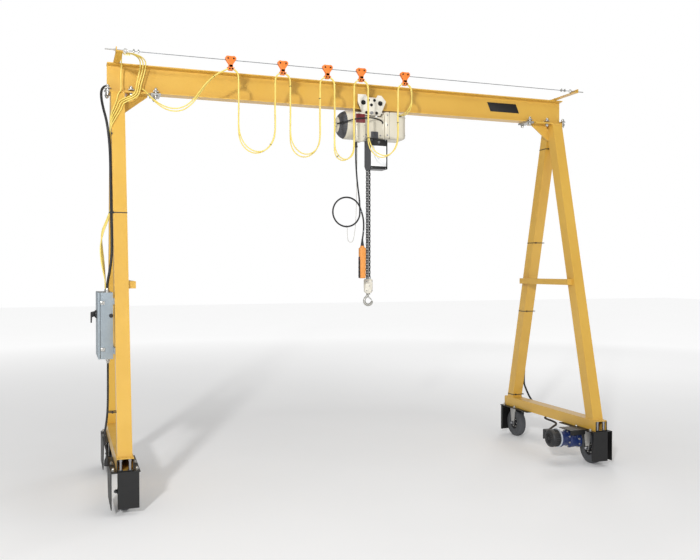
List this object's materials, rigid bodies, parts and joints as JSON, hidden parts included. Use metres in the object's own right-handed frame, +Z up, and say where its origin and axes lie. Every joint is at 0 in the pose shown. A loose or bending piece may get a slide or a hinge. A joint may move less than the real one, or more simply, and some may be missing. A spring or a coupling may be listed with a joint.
{
  "type": "travelling gantry crane",
  "caption": "Small travelling gantry crane: a beam on two A-frames with wheels, an electric chain hoist on a trolley, a pendant and a cable festoon on a wire.",
  "frame": {"origin": "on the floor under the middle of the crane", "axes": "+X along the beam, +Y to the side away from the festoon, +Z up"},
  "size_m": [4.027, 1.436, 3.1439],
  "materials": {
    "black_cable": "satin rubber jacket",
    "black_paint": "semi-gloss powder coat",
    "container_grey": "dark sheet box with a pale front",
    "drive_blue": "gloss enamel on cast iron",
    "enclosure_grey": "textured powder coat",
    "grey_rubber": "matt grey rubber tread",
    "hoist_white": "semi-gloss enamel",
    "motor_black": "satin enamel",
    "orange_plastic": "moulded, matt",
    "pendant_orange": "moulded, satin",
    "trolley_white": "semi-gloss enamel",
    "white_band": "pale grey enamel ring",
    "white_rope": "twisted fibre rope",
    "wire_steel": "stranded galvanised wire",
    "yellow_cable": "satin PVC jacket",
    "yellow_paint": "semi-gloss enamel with light orange peel",
    "zinc_steel": "bright zinc plating"
  },
  "bodies": {
    "root": {"bridge_beam": "yellow_paint", "left_near_leg": "yellow_paint", "left_far_leg": "yellow_paint", "right_near_leg": "yellow_paint", "right_far_leg": "yellow_paint", "cap_plates": "yellow_paint", "cap_gussets": "yellow_paint", "cross_bars": "yellow_paint", "beam_clamps": "zinc_steel", "left_base_beam": "yellow_paint", "right_base_beam": "yellow_paint", "left_wheel_guards": "black_paint", "right_wheel_guards": "black_paint", "left_wheel_forks": "zinc_steel", "right_wheel_forks": "zinc_steel", "drive_gearbox": "drive_blue", "drive_flange": "white_band", "drive_motor": "motor_black", "festoon_arms": "yellow_paint", "wire_eye_bolts": "zinc_steel", "messenger_wire": "wire_steel", "festoon_loop_0": "yellow_cable", "festoon_loop_1": "yellow_cable", "festoon_loop_2": "yellow_cable", "festoon_loop_3": "yellow_cable", "festoon_loop_4": "yellow_cable", "control_enclosure": "enclosure_grey", "enclosure_rails": "enclosure_grey", "control_cables": "yellow_cable", "drive_cable": "black_cable", "supply_cable": "black_cable", "supply_plug": "black_paint"},
    "left_near_wheel": {"left_near_wheel": "grey_rubber"},
    "left_far_wheel": {"left_far_wheel": "grey_rubber"},
    "right_near_wheel": {"right_near_wheel": "grey_rubber"},
    "right_far_wheel": {"right_far_wheel": "grey_rubber"},
    "cable_trolley_1": {"festoon_trolley_1": "orange_plastic"},
    "cable_trolley_2": {"festoon_trolley_2": "orange_plastic"},
    "cable_trolley_3": {"festoon_trolley_3": "orange_plastic"},
    "cable_trolley_4": {"festoon_trolley_4": "orange_plastic"},
    "hoist": {"hoist_trolley": "trolley_white", "hoist_motor": "hoist_white", "hoist_gear_case": "hoist_white", "hoist_end_cover": "hoist_white", "hoist_control_box": "hoist_white", "chain_container": "container_grey", "festoon_trolley_5": "orange_plastic", "festoon_tail": "yellow_cable", "load_chain": "zinc_steel", "pendant": "pendant_orange", "pendant_cable": "black_cable", "strain_rope": "white_rope"},
    "trolley_wheels_left": {"hoist_trolley_wheels_left": "zinc_steel"},
    "trolley_wheels_right": {"hoist_trolley_wheels_right": "zinc_steel"},
    "hook_block": {"hook_block": "hoist_white"},
    "hook": {"load_hook": "zinc_steel"},
    "door": {"enclosure_door": "enclosure_grey"},
    "handle": {"disconnect_handle": "black_paint"}
  },
  "joints": [
    {"name": "left_near_wheel_spin", "type": "hinge", "parent": "root", "child": "left_near_wheel", "pos_m": [-1.865, -0.575, 0.127], "axis": [1, 0, 0], "continuous": true},
    {"name": "left_far_wheel_spin", "type": "hinge", "parent": "root", "child": "left_far_wheel", "pos_m": [-1.865, 0.575, 0.127], "axis": [1, 0, 0], "continuous": true},
    {"name": "right_near_wheel_spin", "type": "hinge", "parent": "root", "child": "right_near_wheel", "pos_m": [1.865, -0.575, 0.127], "axis": [1, 0, 0], "continuous": true},
    {"name": "right_far_wheel_spin", "type": "hinge", "parent": "root", "child": "right_far_wheel", "pos_m": [1.865, 0.575, 0.127], "axis": [1, 0, 0], "continuous": true},
    {"name": "hoist_travel", "type": "slide", "parent": "root", "child": "hoist", "axis": [1, 0, 0], "range_m": [-1.32, 1.15], "deforming": ["festoon_loop_0", "festoon_loop_1", "festoon_loop_2", "festoon_loop_3", "festoon_loop_4"]},
    {"name": "cable_trolley_1_slide", "type": "slide", "parent": "root", "child": "cable_trolley_1", "axis": [1, 0, 0], "range_m": [-0.4143, 0.3612]},
    {"name": "cable_trolley_2_slide", "type": "slide", "parent": "root", "child": "cable_trolley_2", "axis": [1, 0, 0], "range_m": [-0.6709, 0.5848]},
    {"name": "cable_trolley_3_slide", "type": "slide", "parent": "root", "child": "cable_trolley_3", "axis": [1, 0, 0], "range_m": [-0.9005, 0.7848]},
    {"name": "cable_trolley_4_slide", "type": "slide", "parent": "root", "child": "cable_trolley_4", "axis": [1, 0, 0], "range_m": [-1.0806, 0.9417]},
    {"name": "trolley_wheels_left_roll", "type": "hinge", "parent": "hoist", "child": "trolley_wheels_left", "pos_m": [0.034, 0, 2.946], "axis": [0, 1, 0], "range_deg": [-2200, 2200]},
    {"name": "trolley_wheels_right_roll", "type": "hinge", "parent": "hoist", "child": "trolley_wheels_right", "pos_m": [0.18, 0, 2.946], "axis": [0, 1, 0], "range_deg": [-2200, 2200]},
    {"name": "hook_lift", "type": "slide", "parent": "hoist", "child": "hook_block", "axis": [0, 0, 1], "range_m": [-1.2, 0.95], "deforming": ["load_chain"]},
    {"name": "hook_swivel", "type": "hinge", "parent": "hook_block", "child": "hook", "pos_m": [0.104, 0, 1.4], "axis": [0, 0, 1], "continuous": true},
    {"name": "door_swing", "type": "hinge", "parent": "root", "child": "door", "pos_m": [-2.013, -0.011, 1.217], "axis": [0, 0, -1], "range_deg": [0, 110]},
    {"name": "disconnect_turn", "type": "hinge", "parent": "door", "child": "handle", "pos_m": [-2.03, -0.215, 1.29], "axis": [1, 0, 0], "range_deg": [0, 90]}
  ],
  "couplings": [
    {"joint": "cable_trolley_1_slide", "follows": "hoist_travel", "ratio": 0.31234},
    {"joint": "cable_trolley_2_slide", "follows": "hoist_travel", "ratio": 0.50675},
    {"joint": "cable_trolley_3_slide", "follows": "hoist_travel", "ratio": 0.68066},
    {"joint": "cable_trolley_4_slide", "follows": "hoist_travel", "ratio": 0.81709},
    {"joint": "trolley_wheels_left_roll", "follows": "hoist_travel", "rad_per_m": 26.316},
    {"joint": "trolley_wheels_right_roll", "follows": "hoist_travel", "rad_per_m": 26.316}
  ]
}
